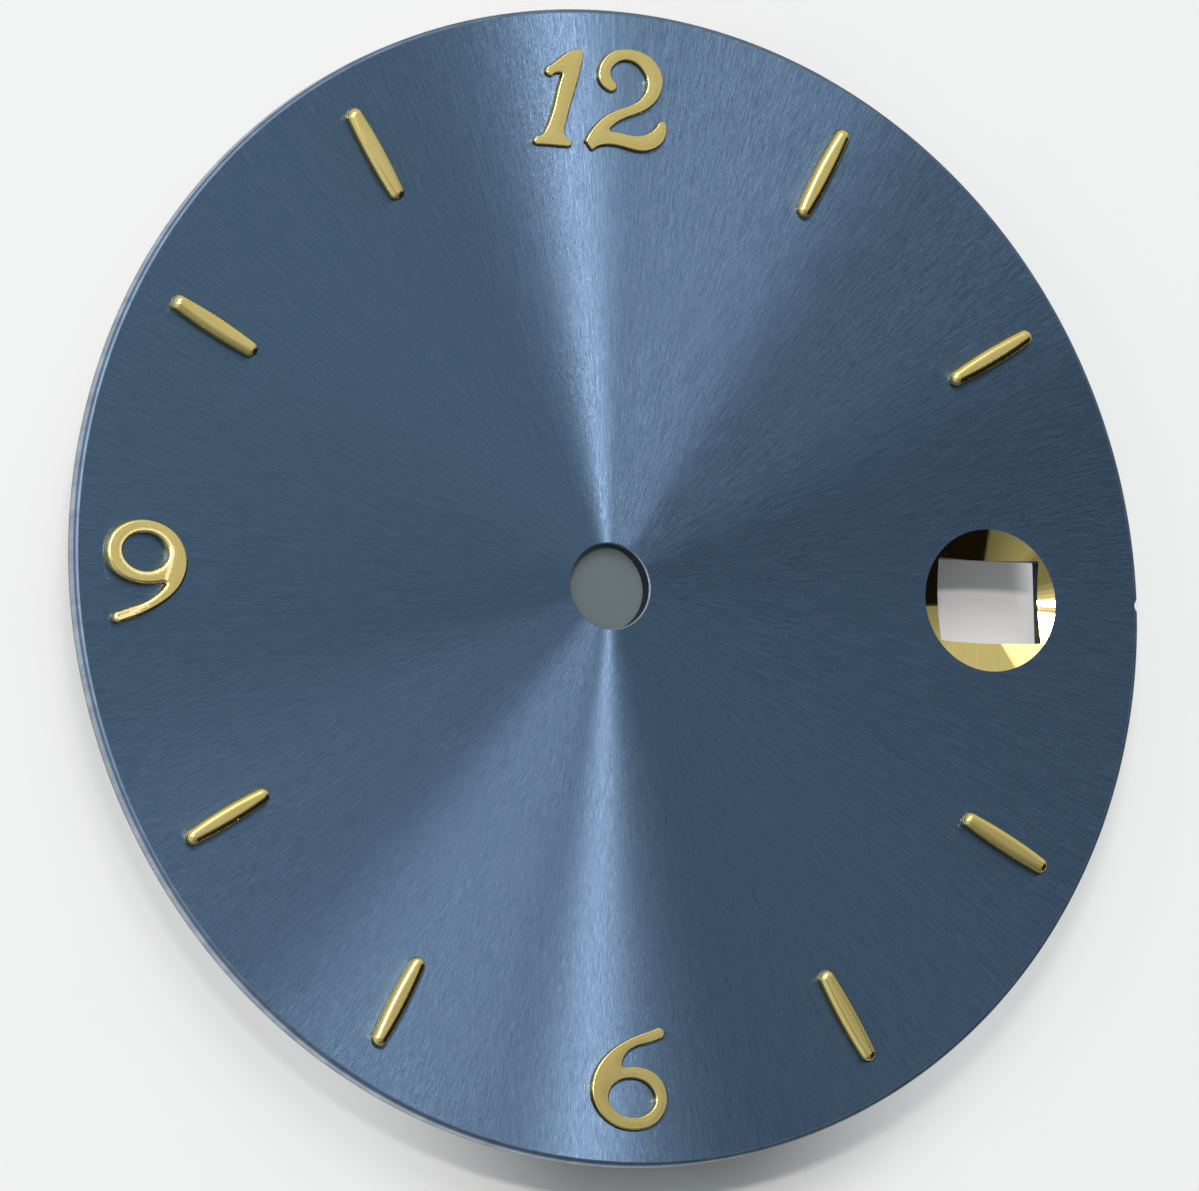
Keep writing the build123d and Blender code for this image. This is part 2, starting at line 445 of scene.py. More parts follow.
def plated_gold(name, finish, deep=gold_deep, pale=gold_pale):
    """Gold plating: a satin land with fine straight grain, and brighter polished edges."""
    material, nodes = new_nodes(name)
    place = nodes.position()
    grain_place = nodes.vector("MULTIPLY", place, finish["grain_scales"])
    lines = nodes.noise(grain_place, gold_detail, roughness=gold_grain_roughness)
    cloud = nodes.noise(place, gold_detail, gold_cloud_scale)
    upward = nodes.height(nodes.add("NewGeometry").outputs["Normal"])
    land = nodes.ranged(upward, land_band, full, soft=True)
    colour = nodes.mixed(nodes.ranged(cloud, calm_band, full), deep, pale)
    rough = nodes.blended(land, finish["edge"], nodes.ranged(lines, wide_band, finish["land"]))
    bump = nodes.bump(lines, finish["grain_strength"], finish["grain_distance"])
    nodes.surface(nodes.metal(colour, rough, bump))
    return material


# Gold of the date window's dish
dish_streak_turns = 22.0
dish_streak_detail = 3.0
dish_turning_scale = 30000.0
dish_turning_detail = 2.0
dish_turning_share = 0.3
dish_roughness = (0.03, 0.07)
dish_bump_strength = 0.3
dish_bump_distance = 0.000004


def dish_gold(name):
    """The date window's dish: turned gold, nearly a mirror, with faint streaks down its slope."""
    material, nodes = new_nodes(name)
    middle = nodes.vector("SUBTRACT", nodes.position(), (window_offset * millimetre, 0, 0))
    flat_place = nodes.vector("MULTIPLY", middle, in_plane)
    outward = nodes.vector("NORMALIZE", flat_place)
    streaks = nodes.noise(nodes.scaled(outward, dish_streak_turns), dish_streak_detail)
    turned = nodes.noise(nodes.vector("LENGTH", flat_place), dish_turning_detail, dish_turning_scale)
    colour = nodes.mixed(nodes.ranged(streaks, calm_band, full), gold_deep, gold_pale)
    rough = nodes.ranged(streaks, wide_band, dish_roughness)
    relief = nodes.math("MULTIPLY_ADD", turned, dish_turning_share, streaks)
    bump = nodes.bump(relief, dish_bump_strength, dish_bump_distance)
    nodes.surface(nodes.metal(colour, rough, bump))
    return material


# Bare back
lapping_angles = (12.0, 68.0, 131.0)
lapping_scales = (26000.0, 900.0, 26000.0)
lapping_detail = 2.0
back_stain_scale = 190.0
back_stain_detail = 5.0
back_colour = (0.660, 0.640, 0.590, 1.0)
back_stained = (0.520, 0.490, 0.420, 1.0)
back_roughness = (0.30, 0.46)
back_bump_strength = 0.3
back_bump_distance = 0.000004


def lapped_brass(name):
    """The plate's back: bare plated brass with crossing lapping scratches."""
    material, nodes = new_nodes(name)
    place = nodes.position()
    relief = 0.0
    for angle in lapping_angles:
        turned = nodes.add("VectorRotate", {"rotation_type": "Z_AXIS"}, Vector=place,
                           Angle=math.radians(angle)).outputs[0]
        lines = nodes.noise(nodes.vector("MULTIPLY", turned, lapping_scales), lapping_detail)
        relief = nodes.math("ADD", lines, relief)
    stain = nodes.noise(place, back_stain_detail, back_stain_scale)
    colour = nodes.mixed(nodes.ranged(stain, calm_band, full), back_colour, back_stained)
    rough = nodes.ranged(stain, wide_band, back_roughness)
    bump = nodes.bump(relief, back_bump_strength, back_bump_distance)
    nodes.surface(nodes.metal(colour, rough, bump))
    return material


# Copper of the dial feet
copper_ring_scales = (2200.0, 2200.0, 36000.0)
copper_ring_detail = 3.0
copper_stain_scale = 1400.0
copper_stain_detail = 4.0
copper_colour = (0.880, 0.480, 0.310, 1.0)
copper_stained = (0.600, 0.300, 0.190, 1.0)
copper_roughness = (0.26, 0.40)
copper_bump_strength = 0.3
copper_bump_distance = 0.000004


def turned_copper(name):
    """The dial feet: drawn copper with fine marks round the pins and some dulling."""
    material, nodes = new_nodes(name)
    place = nodes.position()
    rings = nodes.noise(nodes.vector("MULTIPLY", place, copper_ring_scales), copper_ring_detail)
    stain = nodes.noise(place, copper_stain_detail, copper_stain_scale)
    colour = nodes.mixed(nodes.ranged(stain, calm_band, full), copper_colour, copper_stained)
    rough = nodes.ranged(rings, wide_band, copper_roughness)
    bump = nodes.bump(rings, copper_bump_strength, copper_bump_distance)
    nodes.surface(nodes.metal(colour, rough, bump))
    return material


# Matt sheets of the setting, and how much painted light the floor shows beside the dial
floor_colours = ((0.815, 0.820, 0.856, 1.0), (0.796, 0.800, 0.836, 1.0))
sheet_colours = ((0.120, 0.150, 0.162, 1.0), (0.112, 0.141, 0.153, 1.0))
card_colours = ((0.004, 0.004, 0.004, 1.0), (0.007, 0.007, 0.007, 1.0))
mottle_scale = 160.0
mottle_detail = 4.0
sheet_roughness = 0.85
floor_gloss = 0.5
card_gloss = 0.0
painted_light_colour = (0.868, 0.886, 0.882, 1.0)
painted_light_middle = (0.002, 0.0, 0.0)
painted_light_reaches = (0.0015, 0.0090)
painted_light_shares = (0.0, 0.6)
painted_light_border = (0.0122, 0.0132)


def matt_sheet(name, colours, gloss, clear_below, paints_light=False):
    """A matt sheet. One that is clear from below leaves the underside open to view, and one that
    paints light glows to both sides of the dial but not under it, lifting the floor's shade there."""
    material, nodes = new_nodes(name)
    mottle = nodes.noise(nodes.position(), mottle_detail, mottle_scale)
    colour = nodes.mixed(nodes.ranged(mottle, calm_band, full), *colours)
    shader = nodes.add("BsdfPrincipled", Base_Color=colour, Roughness=sheet_roughness,
                       Specular_IOR_Level=gloss)
    if paints_light:
        # Painted light: a glow that lightens the floor's shade to both sides of the dial, seen by the
        # camera and in reflections
        place = nodes.vector("SUBTRACT", nodes.position(), painted_light_middle)
        sideward = nodes.math("ABSOLUTE", nodes.vector("DOT_PRODUCT", place, towards_three))
        share = nodes.ranged(sideward, painted_light_reaches, painted_light_shares, soft=True)
        reach = nodes.vector("LENGTH", nodes.position())
        share = nodes.math("MULTIPLY", share, nodes.ranged(reach, painted_light_border, full, soft=True))
        path = nodes.add("LightPath")
        seen = nodes.math("MAXIMUM", path.outputs["Is Camera Ray"], path.outputs["Is Glossy Ray"])
        share = nodes.math("MULTIPLY", share, seen)
        painted_light = nodes.add("Emission", Color=painted_light_colour).outputs[0]
        shader = nodes.add("MixShader", n0=share, n1=shader.outputs[0], n2=painted_light)
    if clear_below:
        clear = nodes.add("BsdfTransparent").outputs[0]
        backside = nodes.add("NewGeometry").outputs["Backfacing"]
        shader = nodes.add("MixShader", n0=backside, n1=shader.outputs[0], n2=clear)
    nodes.surface(shader)
    return material


front_material = sunray_blue("sunray_blue")
round_material = turned_metal("round_blue", round_dark, round_light, round_roughness)
rim_material = turned_metal("rim_pale_blue", rim_dark, rim_light, rim_roughness)
edge_material = turned_metal("bare_edge", edge_dark, edge_light, edge_roughness)
painted_shade_wall_material = turned_metal("painted_shade_wall_blue", painted_shade_wall_dark, painted_shade_wall_light, wall_roughness)
digit_material = plated_gold("digit_gold", digit_gold)
painted_highlight_material = plated_gold("painted_highlight_gold", digit_gold | {"land": painted_highlight_roughness},
                                 painted_highlight_deep, painted_highlight_pale)
painted_shade_material = plated_gold("painted_shade_gold", mark_gold | {"edge": shaded_edge}, painted_shade_deep, painted_shade_pale)
mark_material = plated_gold("mark_gold_satin", mark_gold)
dish_material = dish_gold("dish_gold")
back_material = lapped_brass("lapped_brass")
foot_material = turned_copper("turned_copper")


# Meshes
def circle(radius, columns, middle=(0, 0)):
    """Evenly spread points of a circle in the plane."""
    angles = np.arange(columns) / columns * math.tau
    return np.stack([middle[0] + radius * np.cos(angles), middle[1] + radius * np.sin(angles)], 1)


def lifted(points, height):
    """Points of the plane, at one height or at a height each."""
    heights = np.broadcast_to(np.asarray(height, float), (len(points),))
    return np.column_stack([points, heights])


def inside(points, loop):
    """Whether each point of the plane lies within a closed loop."""
    x, y = points[:, :1], points[:, 1:]
    start, end = loop, np.roll(loop, -1, 0)
    crosses = (start[:, 1] > y) != (end[:, 1] > y)
    rise = np.where(crosses, end[:, 1] - start[:, 1], 1)
    meets = start[:, 0] + (y - start[:, 1]) * (end[:, 0] - start[:, 0]) / rise
    return (crosses & (x < meets)).sum(1) % 2 == 1


def triangles_between(loops, extra=()):
    """Divides the area inside the first loop and outside the others: points and triangles."""
    points, edges = [], []
    for loop in loops:
        first = len(points)
        points += [Vector(point) for point in loop]
        edges += [(first + i, first + (i + 1) % len(loop)) for i in range(len(loop))]
    points += [Vector(point) for point in extra]
    cut = delaunay_2d_cdt(points, edges, [], 0, joining_distance)
    flat_points = np.array([point[:] for point in cut[0]])
    faces = np.array(cut[2])
    middles = flat_points[faces].mean(1)
    kept = inside(middles, loops[0])
    for hole in loops[1:]:
        kept &= ~inside(middles, hole)
    return flat_points, faces[kept]


class Piece:
    """Gathers the faces of one piece, each corner with its exact normal."""

    def __init__(self):
        self.points, self.normals, self.faces, self.slots = [], [], [], []

    def add(self, points, normals, faces, slot=0):
        first = sum(len(part) for part in self.points)
        self.points.append(np.asarray(points, float))
        self.normals.append(unit(np.broadcast_to(np.asarray(normals, float), np.shape(points))))
        self.faces += [[first + corner for corner in face] for face in faces]
        self.slots += [slot] * len(faces)

    def add_bands(self, rings, normals, slot=0):
        """A closed band of quads between each ring of points and the next."""
        count = len(rings[0])
        faces = []
        for ring in range(len(rings) - 1):
            low, high = ring * count, (ring + 1) * count
            for i in range(count):
                j = (i + 1) % count
                faces.append((low + i, low + j, high + j, high + i))
        self.add(np.concatenate(rings), np.concatenate(normals), faces, slot)

    def add_flat(self, loops, height, facing):
        """A flat face, facing up or down."""
        points, faces = triangles_between(loops)
        self.add(lifted(points, height), (0, 0, facing), faces)

    def build(self, name, node, materials):
        """Makes the piece's mesh and object, in place of a node."""
        points = np.concatenate(self.points)
        normals = np.concatenate(self.normals)
        faces = []
        for face in self.faces:
            corner = points[face]
            facing = np.cross(corner[1] - corner[0], corner[2] - corner[0])
            faces.append(face if facing @ normals[face].sum(0) >= 0 else face[::-1])
        mesh = bpy.data.meshes.new(name)
        mesh.from_pydata((points * millimetre).tolist(), [], faces)
        for material in materials:
            mesh.materials.append(material)
        mesh.polygons.foreach_set("material_index", self.slots)
        mesh.polygons.foreach_set("use_smooth", [True] * len(faces))
        mesh.normals_split_custom_set_from_vertices(normals.tolist())
        mesh.update()
        piece = bpy.data.objects.new(name, mesh)
        bpy.context.scene.collection.objects.link(piece)
        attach(piece, "root")
        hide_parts(node)


# Outlines and rivet places, as the nodes have them at the plate's top
def base_loops(node):
    """The closed loops that bound a node's faces on the plate's top."""
    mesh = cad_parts[node].data
    points = np.array([vertex.co[:] for vertex in mesh.vertices]) / millimetre
    keys, index = np.unique(np.round(points / merge_distance).astype(int), axis=0, return_inverse=True)
    index = index.ravel()
    steps = set()
    for polygon in mesh.polygons:
        corners = list(polygon.vertices)
        if np.abs(points[corners, 2] - plate_top).max() < merge_distance:
            steps.update((index[a], index[b]) for a, b in zip(corners, corners[1:] + corners[:1]))
    border = {start: end for start, end in sorted(steps) if (end, start) not in steps}
    loops = []
    while border:
        start, end = border.popitem()
        loop = [start]
        while end != loop[0]:
            loop.append(end)
            end = border.pop(end)
        loops.append(keys[loop][:, :2] * merge_distance)
    return loops


def reach_of(loop):
    """A loop's width or height, whichever is more."""
    return np.ptp(loop, axis=0).max()


def split_loops(node):
    """The outlines of a node, widest first, and the middles of its rivets."""
    loops = sorted(base_loops(node), key=reach_of, reverse=True)
    outlines = [loop for loop in loops if reach_of(loop) > small_loop_reach]
    rivets = [(loop.min(0) + loop.max(0)) / 2 for loop in loops if reach_of(loop) <= small_loop_reach]
    return outlines, rivets


def smooth_run(points):
    """A finer row of points on a smooth curve through the given ones."""
    steps = np.linalg.norm(np.diff(points, axis=0), axis=1)
    slopes = np.diff(points, axis=0) / steps[:, None]
    weights = 1 / steps[:, None]
    tangents = np.empty_like(points)
    tangents[1:-1] = (slopes[:-1] * weights[:-1] + slopes[1:] * weights[1:]) / (weights[:-1] + weights[1:])
    tangents[0] = 2 * slopes[0] - tangents[1] if len(points) > 2 else slopes[0]
    tangents[-1] = 2 * slopes[-1] - tangents[-2] if len(points) > 2 else slopes[-1]
    finer = [points[:1]]
    for i, step in enumerate(steps):
        t = np.linspace(0, 1, max(2, math.ceil(step / outline_spacing) + 1))[1:, None]
        bend_start, bend_end = t * (1 - t) ** 2, t * t * (t - 1)
        middle = (1 + 2 * t) * (1 - t) ** 2 * points[i] + t * t * (3 - 2 * t) * points[i + 1]
        finer.append(middle + step * (bend_start * tangents[i] + bend_end * tangents[i + 1]))
    return np.concatenate(finer)


def refined(loop):
    """The loop again, smooth between its corners and evenly fine."""
    ahead = unit(np.roll(loop, -1, 0) - loop)
    behind = unit(loop - np.roll(loop, 1, 0))
    turns = np.degrees(np.arccos(np.clip((ahead * behind).sum(1), -1, 1)))
    corners = np.flatnonzero(turns > corner_turn)
    if len(corners) == 0:
        corners = np.array([0])
    loop = np.roll(loop, -corners[0], 0)
    stops = list(corners - corners[0]) + [len(loop)]
    closed = np.concatenate([loop, loop[:1]])
    return np.concatenate([smooth_run(closed[a:b + 1])[:-1] for a, b in zip(stops, stops[1:])])


def signed_area(loop):
    """The area within a loop, negative where it runs clockwise."""
    x, y = loop.T
    return (x * np.roll(y, -1) - y * np.roll(x, -1)).sum() / 2


def inward_normals(loop, is_hole):
    """Unit directions from a loop's points into the metal."""
    along = unit(np.roll(loop, -1, 0) - np.roll(loop, 1, 0))
    left = np.column_stack([-along[:, 1], along[:, 0]])
    return left if (signed_area(loop) > 0) != is_hole else -left


def nearest(points, loops):
    """Each point's distance to the nearest outline, and the direction away from it."""
    starts = np.concatenate(loops)
    runs = np.concatenate([np.roll(loop, -1, 0) for loop in loops]) - starts
    distances = np.empty(len(points))
    away = np.empty_like(points)
    for i, point in enumerate(points):
        share = np.clip(((point - starts) * runs).sum(1) / (runs * runs).sum(1), 0, 1)
        gaps = point - (starts + share[:, None] * runs)
        lengths = np.hypot(*gaps.T)
        chosen = lengths.argmin()
        distances[i] = lengths[chosen]
        away[i] = gaps[chosen] / max(lengths[chosen], joining_distance)
    return distances, away


def thinned(points, spacing):
    """The points, less those that crowd an earlier one."""
    kept, taken = [], {}
    for point in points:
        column, row = np.floor(point / spacing).astype(int)
        near = [other for dx in (-1, 0, 1) for dy in (-1, 0, 1)
                for other in taken.get((column + dx, row + dy), ())]
        if all(np.hypot(*(point - other)) >= spacing for other in near):
            kept.append(point)
            taken.setdefault((column, row), []).append(point)
    return np.array(kept).reshape(-1, 2)


def inner_points(loops, section):
    """Points within the outlines, in rows that follow them."""
    bends = np.linspace(0, math.pi / 2, round_rings + 1)[1:]
    edge_rows = section["across"] * (1 - np.cos(bends))
    land_rows = np.arange(section["across"] + crown_spacing, reach_of(loops[0]), crown_spacing)
    rows = []
    for offset in [*edge_rows, *land_rows]:
        moved = [loop + offset * inward_normals(loop, number > 0) for number, loop in enumerate(loops)]
        moved = np.concatenate(moved)
        moved = moved[inside(moved, loops[0])]
        if len(moved) > 0:
            distance, _ = nearest(moved, loops)
            moved = moved[distance > offset * kept_share - merge_distance]
        if len(moved) == 0:
            break
        rows.append(thinned(moved, min(crowded_spacing, max(offset / 2, narrowest_spacing))))
    return np.concatenate(rows)


# A gold piece's materials by number: its land and edges, its walls, and the painted highlight line
land_slot, wall_slot, line_slot = 0, 1, 2


def on_painted_highlight(places, loops):
    """Whether places are on the painted highlight line round the nine's open bowl and down its tail."""
    to_outline, _ = nearest(places, loops[:1])
    to_bowl, _ = nearest(places, loops[1:])
    tail = smooth_run(np.array(tail_line))
    to_tail_line, _ = nearest(places, [np.concatenate([tail, tail[-2:0:-1]])])
    by_bowl = (to_bowl > bowl_line[0]) & (to_bowl < bowl_line[1]) & (to_outline > bowl_line[0])
    return by_bowl | (to_tail_line < tail_line_reach)


def add_rounded_top(piece, loops, section, has_painted_highlight):
    """A land with rounded edges over the outlines, and the upright walls under it. One with a painted
    highlight has the nine's paler line on it."""
    across, down, crown = section["across"], section["down"], section["crown"]
    top = plate_top + section["height"] - crown
    loops = [refined(loop) for loop in loops]
    points, faces = triangles_between(loops, inner_points(loops, section))
    distance, away = nearest(points, loops)

    inwards = [inward_normals(loop, number > 0) for number, loop in enumerate(loops)]
    edge_points = np.concatenate(loops)
    for i in np.flatnonzero(distance < merge_distance):
        away[i] = np.concatenate(inwards)[np.hypot(*(edge_points - points[i]).T).argmin()]

    land_width = max(distance.max() - across, merge_distance)
    on_land = np.clip((distance - across) / land_width, 0, 1)
    on_edge = np.clip(1 - distance / across, 0, 1)
    roundness = np.sqrt(1 - on_edge ** 2)
    heights = top - down * (1 - roundness) + crown * (1 - (1 - on_land) ** 2)
    edge_slope = down / across * on_edge / np.maximum(roundness, 1 / steepest_ratio)
    slope = np.where(on_edge > 0, edge_slope, 2 * crown * (1 - on_land) / land_width)
    normals = lifted(points * gold_lean - away * slope[:, None], 1)
    if has_painted_highlight:
        lined = on_painted_highlight(points[faces].mean(1), loops)
        piece.add(lifted(points, heights), normals, faces[lined], line_slot)
        faces = faces[~lined]
    piece.add(lifted(points, heights), normals, faces, land_slot)
    for loop, inward in zip(loops, inwards):
        rings = [lifted(loop, plate_top), lifted(loop, top - down)]
        piece.add_bands(rings, [lifted(-inward, 0)] * 2, wall_slot)


def add_turned(piece, profile, middle, columns):
    """A turned form: straight bands between the profile's corners, from the top down."""
    around = circle(1, columns)
    for (top_radius, high), (low_radius, low) in zip(profile, profile[1:]):
        rings = [lifted(around * top_radius + middle, high), lifted(around * low_radius + middle, low)]
        slant = (low_radius - top_radius) / (high - low)
        piece.add_bands(rings, [lifted(around, slant)] * 2)


def add_rivet(piece, middle):
    """A shank below the plate's top, spread at the back into a flush head."""
    profile = ((rivet_radius, plate_top), (rivet_radius, rivet_head_height), (rivet_head_radius, 0))
    add_turned(piece, profile, middle, rivet_columns)
    piece.add_flat([circle(rivet_head_radius, rivet_columns, middle)], 0, -1)


# Marks and numerals: their outlines, and their rivets' places
hour_nodes = sorted(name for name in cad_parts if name.startswith("hour_"))
digit_nodes = sorted(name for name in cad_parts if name.startswith("numeral_"))
outlines, rivets = {}, {}
for node in hour_nodes + digit_nodes:
    outlines[node], rivets[node] = split_loops(node)
rivet_places = [middle for places in rivets.values() for middle in places]

# The plate's columns follow the notch, where the rim ends short
notch_middle = plate_radius - notch_depth + notch_radius
notch_squares = plate_radius ** 2 + notch_middle ** 2 - notch_radius ** 2
notch_angle = math.acos(notch_squares / (2 * plate_radius * notch_middle))
even_angles = np.arange(plate_columns) / plate_columns * math.tau - math.pi
clear_of_notch = np.abs(even_angles) > notch_angle * notch_margin
notch_angles = np.linspace(-notch_angle, notch_angle, notch_columns)
plate_angles = np.sort(np.concatenate([notch_angles, even_angles[clear_of_notch]]))
in_notch = np.isin(plate_angles, notch_angles[1:-1])
columns = np.column_stack([np.cos(plate_angles), np.sin(plate_angles)])
notch_sine = np.where(in_notch, notch_middle * columns[:, 1], 0)
notch_reach = notch_middle * columns[:, 0] - np.sqrt(notch_radius ** 2 - notch_sine ** 2)
edge_reach = np.where(in_notch, notch_reach, plate_radius)
edge_bend = np.arcsin(np.clip((edge_reach - plate_radius + rim_width) / rim_width, 0, 1))
edge_row = columns * edge_reach[:, None]
notch_walls = unit(np.array([notch_middle, 0]) - edge_row)
wall_normals = np.where(in_notch[:, None], notch_walls, columns)

# Rim: the front's rounded edge, the rim's own wall, and its bare lower edge
round_slot, rim_slot, edge_slot = 0, 1, 2
rim = Piece()
rim_rows, rim_normals = [], []
for share in np.linspace(0, 1, rim_rings + 1):
    bend = edge_bend * share
    reach = plate_radius - rim_width + rim_width * np.sin(bend)
    upward = np.cos(bend) / rim_drop
    outward = np.sin(bend) / rim_width
    rim_rows.append(lifted(columns * reach[:, None], plate_top - rim_drop + rim_drop * np.cos(bend)))
    rim_normals.append(lifted(columns * outward[:, None], upward))
rim.add_bands(rim_rows, rim_normals, round_slot)
edge_line = lifted(edge_row, bare_edge_height)
rim.add_bands([rim_rows[-1], edge_line], [lifted(wall_normals, 0)] * 2, rim_slot)
rim.add_bands([edge_line, lifted(edge_row, 0)], [lifted(wall_normals, 0)] * 2, edge_slot)


# Edges of the date window and of the bore
def window_outline():
    """The rectangular hole's outline round its middle, and its outward directions."""
    half = np.array([window_width, window_height]) / 2 - window_corner_radius
    arcs = []
    for quarter, signs in enumerate(((1, 1), (-1, 1), (-1, -1), (1, -1))):
        bends = math.pi / 2 * (quarter + np.linspace(0, 1, corner_steps))
        around = np.column_stack([np.cos(bends), np.sin(bends)])
        arcs.append((half * signs + around * window_corner_radius, around))
    points, normals = [], []
    for (arc, around), (next_arc, _) in zip(arcs, arcs[1:] + arcs[:1]):
        shares = np.linspace(0, 1, side_steps)[1:-1, None]
        side = arc[-1] + (next_arc[0] - arc[-1]) * shares
        points += [arc, side]
        normals += [around, np.broadcast_to(around[-1], side.shape)]
    return np.concatenate(points), np.concatenate(normals)


dish_middle = np.array([window_offset, 0])
window_points, window_normals = window_outline()
window_reach = np.hypot(*window_points.T)
window_around = window_points / window_reach[:, None]
window_loop = window_points + dish_middle
dish_loop = window_around * dish_radius + dish_middle
bore_around = circle(1, bore_columns)
bore_mouth = bore_around * (bore_radius + bore_edge_break)
bore_loop = bore_around * bore_radius
bore_low = plate_top - bore_edge_break

# Front, with the bore's broken edge in its second material
chamfer_slot = 1
front = Piece()
shank_holes = [circle(rivet_radius + rivet_clearance, rivet_columns, middle) for middle in rivet_places]
front_outline = columns * (plate_radius - rim_width)
front.add_flat([front_outline, bore_mouth, dish_loop] + shank_holes, plate_top, 1)
bore_chamfer = [lifted(bore_mouth, plate_top), lifted(bore_loop, bore_low)]
front.add_bands(bore_chamfer, [lifted(-bore_around, 1)] * 2, chamfer_slot)

# Dish of the date window
dish_slope = dish_apex_depth / dish_radius
dish = Piece()
dish_rows, dish_normals = [], []
for share in np.linspace(0, 1, dish_rings + 1):
    reach = dish_radius + (window_reach - dish_radius) * share
    height = plate_top - dish_slope * (dish_radius - reach)
    dish_rows.append(lifted(window_around * reach[:, None] + dish_middle, height))
    dish_normals.append(lifted(-window_around * dish_slope, 1))
dish.add_bands(dish_rows, dish_normals)

# Back, with the countersunk holes of the rivets
back = Piece()
head_holes = [circle(rivet_head_radius + rivet_clearance, rivet_columns, middle) for middle in rivet_places]
back.add_flat([edge_row, bore_loop, window_loop] + head_holes, 0, -1)
for middle in rivet_places:
    around = circle(1, rivet_columns)
    shank_row = around * (rivet_radius + rivet_clearance) + middle
    head_row = around * (rivet_head_radius + rivet_clearance) + middle
    countersink = [lifted(shank_row, rivet_head_height), lifted(head_row, 0)]
    back.add_bands(countersink, [lifted(-around, -1)] * 2)
    shank_hole = [lifted(shank_row, plate_top), lifted(shank_row, rivet_head_height)]
    back.add_bands(shank_hole, [lifted(-around, 0)] * 2)

# Walls of the bore and of the date window
walls = Piece()
walls.add_bands([lifted(bore_loop, bore_low), lifted(bore_loop, 0)], [lifted(-bore_around, 0)] * 2)
walls.add_bands([dish_rows[-1], lifted(window_loop, 0)], [lifted(-window_normals, 0)] * 2)

front.build("dial_front", "dial_plate", [front_material, rim_material])
rim.build("dial_rim", "dial_plate", [round_material, rim_material, edge_material])
dish.build("date_dish", "dial_plate", [dish_material])
back.build("dial_back", "dial_plate", [back_material])
walls.build("opening_walls", "dial_plate", [painted_shade_wall_material])


# Marks and numerals: their bodies
def add_gold_piece(node, section, top_material):
    """A mark or a digit with its riveted feet."""
    gold = Piece()
    add_rounded_top(gold, outlines[node], section, has_painted_highlight=section is nine_section)
    for middle in rivets[node]:
        add_rivet(gold, middle)
    materials = [top_material, painted_shade_material, painted_highlight_material]
    gold.build(node + "_polished", node, materials)


for node in hour_nodes:
    add_gold_piece(node, mark_section, mark_material)
for node in digit_nodes:
    section = nine_section if node == "numeral_9" else digit_section
    add_gold_piece(node, section, digit_material)

# Dial feet
foot_profile = (
    (foot_base_radius, 0),
    (foot_radius, -foot_base_height),
    (foot_radius, foot_tip_chamfer - foot_length),
    (foot_radius - foot_tip_chamfer, -foot_length),
)
for node in ("dial_foot_a", "dial_foot_b"):
    low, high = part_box(node)
    middle = (np.array(low[:2]) + np.array(high[:2])) / 2 / millimetre
    foot = Piece()
    add_turned(foot, foot_profile, middle, foot_columns)
    foot.add_flat([circle(foot_radius - foot_tip_chamfer, foot_columns, middle)], -foot_length, -1)
    foot.add_flat([circle(foot_base_radius, foot_columns, middle)], 0, 1)
    foot.build(node + "_turned", node, [foot_material])


# Setting: floor, grey sheet under the bore, and black card
def add_stage(name, points, faces, material):
    """A piece of the setting, which isn't part of the dial."""
    mesh = bpy.data.meshes.new(name)
    mesh.from_pydata((points * millimetre).tolist(), [], faces)
    mesh.materials.append(material)
    piece = bpy.data.objects.new(name, mesh)
    bpy.context.scene.collection.objects.link(piece)
    return piece


floor_corners = floor_reach * np.array([(-1, -1), (1, -1), (1, 1), (-1, 1)])
floor_points = lifted(floor_corners, -foot_length - floor_gap)
floor_material = matt_sheet("pale_sheet", floor_colours, floor_gloss, clear_below=True, paints_light=True)
add_stage("floor", floor_points, [(0, 1, 2, 3)], floor_material)

sheet_points = lifted(circle(sheet_radius, sheet_columns), sheet_height)
sheet_material = matt_sheet("grey_sheet", sheet_colours, floor_gloss, clear_below=True)
add_stage("bore_sheet", sheet_points, [range(sheet_columns)], sheet_material)

card_turns = np.radians(np.linspace(*card_angles, card_columns))
card_row = card_reach * np.column_stack([np.cos(card_turns), np.sin(card_turns)])
card_points = np.concatenate([lifted(card_row, -foot_length), lifted(card_row, card_height)])
card_faces = [(i, i + 1, card_columns + i + 1, card_columns + i) for i in range(card_columns - 1)]
card_material = matt_sheet("black_card", card_colours, card_gloss, clear_below=False)
card = add_stage("card", card_points, card_faces, card_material)
card.visible_camera = False


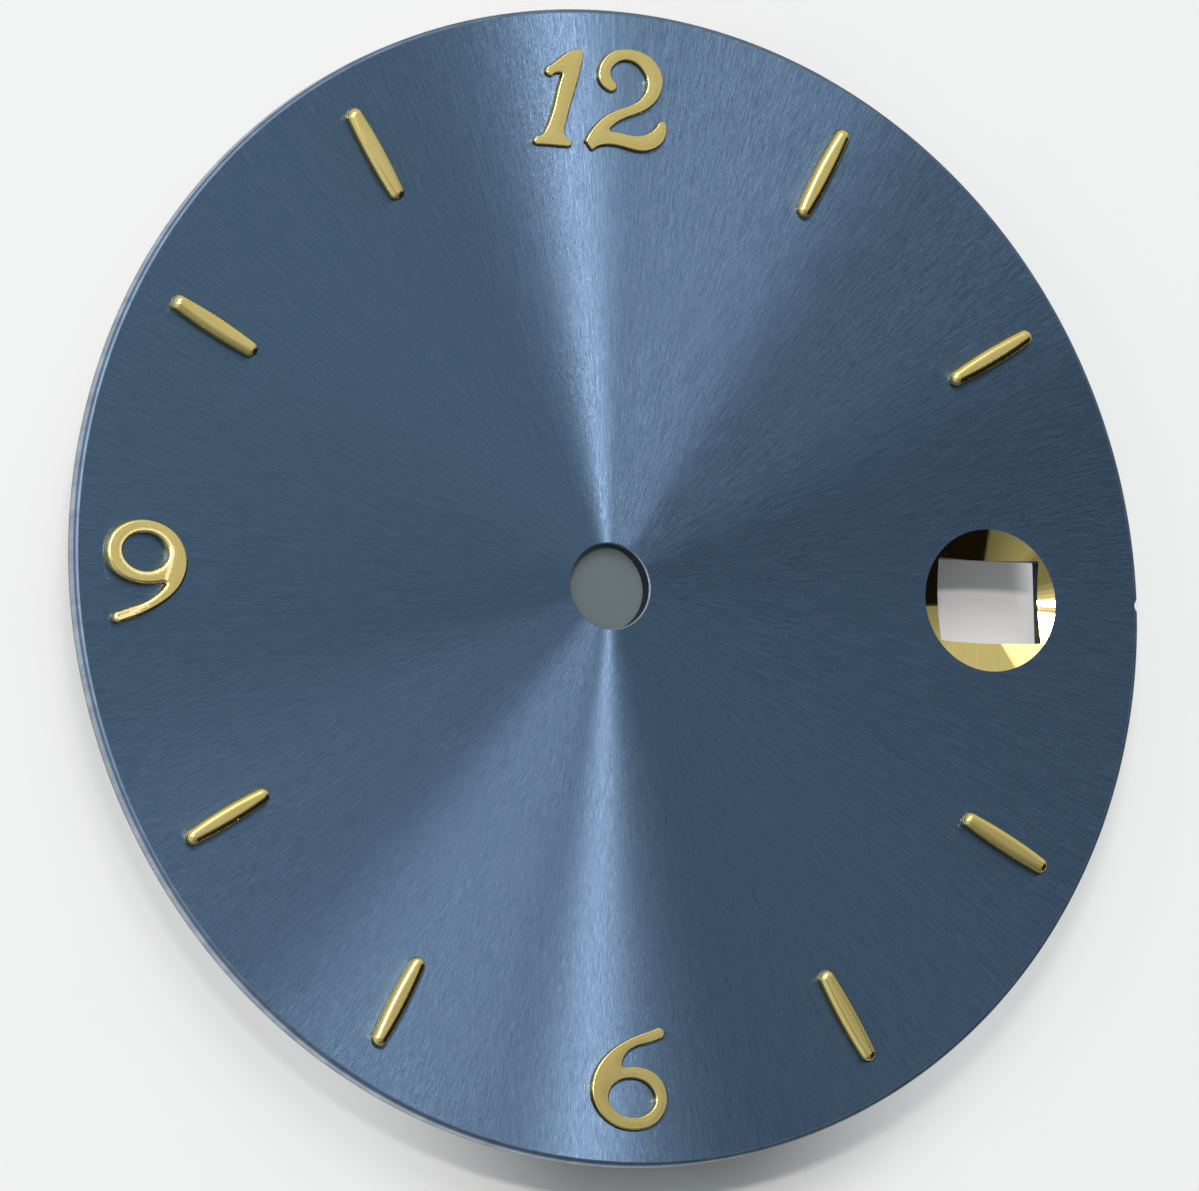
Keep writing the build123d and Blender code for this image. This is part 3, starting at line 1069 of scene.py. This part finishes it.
# Lamps and the room's light
def area_light(name, direction, size, power, tint):
    """A flat lamp that looks at the middle of the dial from one direction."""
    lamp = bpy.data.lights.new(name, "AREA")
    lamp.energy = power
    lamp.color = tint
    lamp.shape = "RECTANGLE"
    lamp.size, lamp.size_y = size
    holder = bpy.data.objects.new(name, lamp)
    backward = Vector(direction).normalized()
    sideward = Vector(towards_twelve).cross(backward).normalized()
    turn = Matrix((sideward, backward.cross(sideward), backward)).transposed()
    holder.matrix_world = Matrix.Translation(backward * light_distance) @ turn.to_4x4()
    holder.visible_camera = False
    bpy.context.scene.collection.objects.link(holder)


for name, light in lights.items():
    area_light(name, **light)


def light_room():
    """A grey room, dim towards the lower right, and a pale backdrop where the camera sees it."""
    world = bpy.data.worlds.new("room")
    bpy.context.scene.world = world
    nodes = Nodes(world)
    towards = nodes.vector("NORMALIZE", nodes.add("TexCoord").outputs["Generated"])
    sideward = nodes.vector("DOT_PRODUCT", towards, room_dim_side)
    level = room_level
    for reaches, shares in room_falls:
        level = nodes.math("MULTIPLY", nodes.ranged(sideward, reaches, shares), level)
    closeness = nodes.vector("DOT_PRODUCT", towards, Vector(shade_direction).normalized())
    limits = tuple(math.cos(math.radians(angle)) for angle in shade_angles)
    shade = nodes.ranged(closeness, limits, (1.0, shade_level), soft=True)
    room = nodes.add("Background", Color=(*room_tint, 1), Strength=nodes.math("MULTIPLY", level, shade))
    backdrop = nodes.add("Background", Color=(backdrop_white, backdrop_white, backdrop_white, 1))
    seen = nodes.add("LightPath").outputs["Is Camera Ray"]
    mix = nodes.add("MixShader", n0=seen, n1=room.outputs[0], n2=backdrop.outputs[0])
    output = nodes.add("OutputWorld")
    nodes.tree.links.new(mix.outputs[0], output.inputs["Surface"])


light_room()

# Camera
camera_data = bpy.data.cameras.new("camera")
camera_data.sensor_fit = "HORIZONTAL"
camera_data.sensor_width = sensor_width
camera_data.lens = camera_lens
camera_data.clip_end = clip_far
camera = bpy.data.objects.new("camera", camera_data)
backward = -Vector(camera_forward).normalized()
upward = -Vector(camera_down)
upward = (upward - upward.dot(backward) * backward).normalized()
turn = Matrix((upward.cross(backward), upward, backward)).transposed()
camera.matrix_world = Matrix.Translation(Vector(camera_place) * millimetre) @ turn.to_4x4()
bpy.context.scene.collection.objects.link(camera)
bpy.context.scene.camera = camera
bpy.context.scene.view_settings.view_transform = "Standard"
